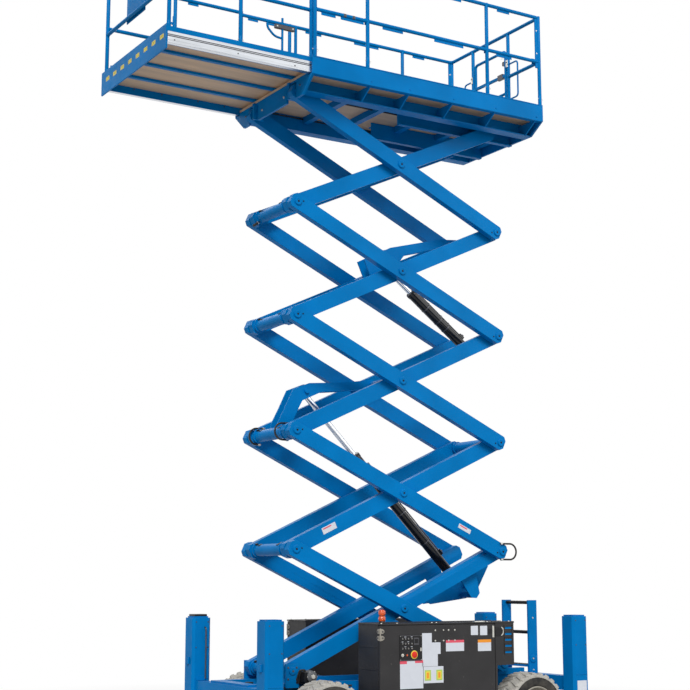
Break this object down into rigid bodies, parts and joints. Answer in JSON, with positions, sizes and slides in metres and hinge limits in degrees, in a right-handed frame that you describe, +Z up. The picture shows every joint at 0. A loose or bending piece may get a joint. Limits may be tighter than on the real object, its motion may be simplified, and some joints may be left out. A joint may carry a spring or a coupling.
{
  "type": "scissor lift",
  "caption": "Rough-terrain scissor lift with a crossed-arm stack, rollout deck extension, guardrails, outriggers and side modules on a wheeled chassis",
  "frame": {"origin": "bottom centre of the bounding box, on the ground", "axes": "+X to the ladder end, +Z up, Y across the machine"},
  "size_m": [4.728, 1.75, 7.4798],
  "materials": {
    "frame_blue": "glossy",
    "tyre": "matte",
    "wheel_grey": "satin",
    "axle_black": "satin",
    "cover_black": "satin",
    "engine_iron": "rough",
    "beacon_orange": "glossy",
    "leg_steel": "brushed",
    "barrel_black": "glossy",
    "rod_chrome": "polished",
    "deck_board": "matte",
    "rail_aluminium": "satin"
  },
  "bodies": {
    "chassis": {"chassis_frame": "frame_blue", "front_axle": "axle_black", "rear_axle": "axle_black", "control_module": "cover_black", "engine_module": "cover_black", "engine_block": "engine_iron", "beacon": "beacon_orange", "ladder": "frame_blue", "outrigger_housing_front_left": "frame_blue", "outrigger_housing_front_right": "frame_blue", "outrigger_housing_rear_left": "frame_blue", "outrigger_housing_rear_right": "frame_blue"},
    "knuckle_left": {"knuckle_left": "axle_black"},
    "knuckle_right": {"knuckle_right": "axle_black"},
    "wheel_front_left": {"tyre_front_left": "tyre", "rim_front_left": "wheel_grey"},
    "leg_front_left": {"outrigger_leg_front_left": "leg_steel"},
    "wheel_front_right": {"tyre_front_right": "tyre", "rim_front_right": "wheel_grey"},
    "leg_front_right": {"outrigger_leg_front_right": "leg_steel"},
    "wheel_rear_left": {"tyre_rear_left": "tyre", "rim_rear_left": "wheel_grey"},
    "leg_rear_left": {"outrigger_leg_rear_left": "leg_steel"},
    "wheel_rear_right": {"tyre_rear_right": "tyre", "rim_rear_right": "wheel_grey"},
    "leg_rear_right": {"outrigger_leg_rear_right": "leg_steel"},
    "control_door": {"control_door": "cover_black"},
    "engine_door": {"engine_door": "cover_black"},
    "inner_1": {"inner_arm_1": "frame_blue"},
    "outer_1": {"outer_arm_1_left": "frame_blue", "outer_arm_1_right": "frame_blue"},
    "inner_2": {"inner_arm_2": "frame_blue"},
    "outer_2": {"outer_arm_2_left": "frame_blue", "outer_arm_2_right": "frame_blue"},
    "inner_3": {"inner_arm_3": "frame_blue"},
    "outer_3": {"outer_arm_3_left": "frame_blue", "outer_arm_3_right": "frame_blue"},
    "inner_4": {"inner_arm_4": "frame_blue"},
    "outer_4": {"outer_arm_4_left": "frame_blue", "outer_arm_4_right": "frame_blue"},
    "inner_5": {"inner_arm_5": "frame_blue"},
    "outer_5": {"outer_arm_5_left": "frame_blue", "outer_arm_5_right": "frame_blue"},
    "lower_barrel": {"lower_cylinder_barrel": "barrel_black"},
    "lower_rod": {"lower_cylinder_rod": "rod_chrome"},
    "upper_barrel": {"upper_cylinder_barrel": "barrel_black"},
    "upper_rod": {"upper_cylinder_rod": "rod_chrome"},
    "platform": {"platform_frame": "frame_blue", "platform_floor": "deck_board", "guardrail_left": "frame_blue", "guardrail_right": "frame_blue"},
    "gate": {"entry_gate": "frame_blue"},
    "extension": {"extension_frame": "frame_blue", "extension_rail_left": "rail_aluminium", "extension_rail_right": "rail_aluminium", "extension_floor": "deck_board", "extension_guardrail": "frame_blue", "control_box": "cover_black"}
  },
  "joints": [
    {"name": "lift", "type": "hinge", "parent": "chassis", "child": "inner_1", "pos_m": [-0.80699, 0, 0.75], "axis": [0, -1, 0], "range_deg": [-21.25, 34.25]},
    {"name": "outer_1_turn", "type": "hinge", "parent": "inner_1", "child": "outer_1", "pos_m": [0.3795, 0, 1.29698], "axis": [0, -1, 0], "range_deg": [-69, 43]},
    {"name": "outer_2_turn", "type": "hinge", "parent": "inner_1", "child": "outer_2", "pos_m": [1.56599, 0, 1.84396], "axis": [0, -1, 0], "range_deg": [-69, 43]},
    {"name": "inner_2_turn", "type": "hinge", "parent": "outer_2", "child": "inner_2", "pos_m": [0.3795, 0, 2.39094], "axis": [0, -1, 0], "range_deg": [-43, 69]},
    {"name": "inner_3_turn", "type": "hinge", "parent": "outer_2", "child": "inner_3", "pos_m": [-0.80699, 0, 2.93792], "axis": [0, -1, 0], "range_deg": [-43, 69]},
    {"name": "outer_3_turn", "type": "hinge", "parent": "inner_3", "child": "outer_3", "pos_m": [0.3795, 0, 3.48489], "axis": [0, -1, 0], "range_deg": [-69, 43]},
    {"name": "outer_4_turn", "type": "hinge", "parent": "inner_3", "child": "outer_4", "pos_m": [1.56599, 0, 4.03187], "axis": [0, -1, 0], "range_deg": [-69, 43]},
    {"name": "inner_4_turn", "type": "hinge", "parent": "outer_4", "child": "inner_4", "pos_m": [0.3795, 0, 4.57885], "axis": [0, -1, 0], "range_deg": [-43, 69]},
    {"name": "inner_5_turn", "type": "hinge", "parent": "outer_4", "child": "inner_5", "pos_m": [-0.80699, 0, 5.12583], "axis": [0, -1, 0], "range_deg": [-43, 69]},
    {"name": "outer_5_turn", "type": "hinge", "parent": "inner_5", "child": "outer_5", "pos_m": [0.3795, 0, 5.67281], "axis": [0, -1, 0], "range_deg": [-69, 43]},
    {"name": "platform_turn", "type": "hinge", "parent": "outer_5", "child": "platform", "pos_m": [-0.80699, 0, 6.21979], "axis": [0, -1, 0], "range_deg": [-21.75, 34.75]},
    {"name": "lower_barrel_turn", "type": "hinge", "parent": "inner_1", "child": "lower_barrel", "pos_m": [1.37803, 0, 1.50404], "axis": [0, -1, 0], "range_deg": [-63.18, 39.39]},
    {"name": "lower_rod_slide", "type": "slide", "parent": "lower_barrel", "child": "lower_rod", "axis": [-0.7066, 0, 0.7076], "range_m": [-0.6058, 0.9734]},
    {"name": "upper_barrel_turn", "type": "hinge", "parent": "inner_3", "child": "upper_barrel", "pos_m": [1.50861, 0, 3.94376], "axis": [0, -1, 0], "range_deg": [-62.84, 39.18]},
    {"name": "upper_rod_slide", "type": "slide", "parent": "upper_barrel", "child": "upper_rod", "axis": [-0.7976, 0, 0.6031], "range_m": [-0.1812, 0.2889]},
    {"name": "deck_extension", "type": "slide", "parent": "platform", "child": "extension", "axis": [1, 0, 0], "range_m": [0, 1.44]},
    {"name": "entry_gate_swing", "type": "hinge", "parent": "platform", "child": "gate", "pos_m": [1.9255, 0.324, 6.35479], "axis": [0, 0, -1], "range_deg": [0, 90]},
    {"name": "steering_left", "type": "hinge", "parent": "chassis", "child": "knuckle_left", "pos_m": [-0.6405, -0.555, 0.34], "axis": [0, 0, 1], "range_deg": [-30, 30]},
    {"name": "steering_right", "type": "hinge", "parent": "chassis", "child": "knuckle_right", "pos_m": [-0.6405, 0.555, 0.34], "axis": [0, 0, 1], "range_deg": [-30, 30]},
    {"name": "wheel_front_left_spin", "type": "hinge", "parent": "knuckle_left", "child": "wheel_front_left", "pos_m": [-0.6405, -0.725, 0.34], "axis": [0, 1, 0], "continuous": true},
    {"name": "wheel_front_right_spin", "type": "hinge", "parent": "knuckle_right", "child": "wheel_front_right", "pos_m": [-0.6405, 0.725, 0.34], "axis": [0, 1, 0], "continuous": true},
    {"name": "wheel_rear_left_spin", "type": "hinge", "parent": "chassis", "child": "wheel_rear_left", "pos_m": [1.6495, -0.725, 0.34], "axis": [0, 1, 0], "continuous": true},
    {"name": "wheel_rear_right_spin", "type": "hinge", "parent": "chassis", "child": "wheel_rear_right", "pos_m": [1.6495, 0.725, 0.34], "axis": [0, 1, 0], "continuous": true},
    {"name": "outrigger_front_left_extend", "type": "slide", "parent": "chassis", "child": "leg_front_left", "axis": [0, 0, -1], "range_m": [0, 0.4]},
    {"name": "outrigger_front_right_extend", "type": "slide", "parent": "chassis", "child": "leg_front_right", "axis": [0, 0, -1], "range_m": [0, 0.4]},
    {"name": "outrigger_rear_left_extend", "type": "slide", "parent": "chassis", "child": "leg_rear_left", "axis": [0, 0, -1], "range_m": [0, 0.4]},
    {"name": "outrigger_rear_right_extend", "type": "slide", "parent": "chassis", "child": "leg_rear_right", "axis": [0, 0, -1], "range_m": [0, 0.4]},
    {"name": "control_door_swing", "type": "hinge", "parent": "chassis", "child": "control_door", "pos_m": [-0.1505, -0.86, 0.794], "axis": [0, 0, -1], "range_deg": [0, 100]},
    {"name": "engine_door_swing", "type": "hinge", "parent": "chassis", "child": "engine_door", "pos_m": [-0.1505, 0.86, 0.794], "axis": [0, 0, 1], "range_deg": [0, 100]}
  ],
  "couplings": [
    {"joint": "outer_1_turn", "follows": "lift", "ratio": -2},
    {"joint": "outer_2_turn", "follows": "lift", "ratio": -2},
    {"joint": "inner_2_turn", "follows": "lift", "ratio": 2},
    {"joint": "inner_3_turn", "follows": "lift", "ratio": 2},
    {"joint": "outer_3_turn", "follows": "lift", "ratio": -2},
    {"joint": "outer_4_turn", "follows": "lift", "ratio": -2},
    {"joint": "inner_4_turn", "follows": "lift", "ratio": 2},
    {"joint": "inner_5_turn", "follows": "lift", "ratio": 2},
    {"joint": "outer_5_turn", "follows": "lift", "ratio": -2},
    {"joint": "platform_turn", "follows": "lift", "ratio": 1},
    {"joint": "lower_barrel_turn", "follows": "lift", "ratio": -1.83},
    {"joint": "lower_rod_slide", "follows": "lift", "m_per_rad": 1.62},
    {"joint": "upper_barrel_turn", "follows": "lift", "ratio": -1.82},
    {"joint": "upper_rod_slide", "follows": "lift", "m_per_rad": 0.475},
    {"joint": "steering_right", "follows": "steering_left", "ratio": 1}
  ]
}
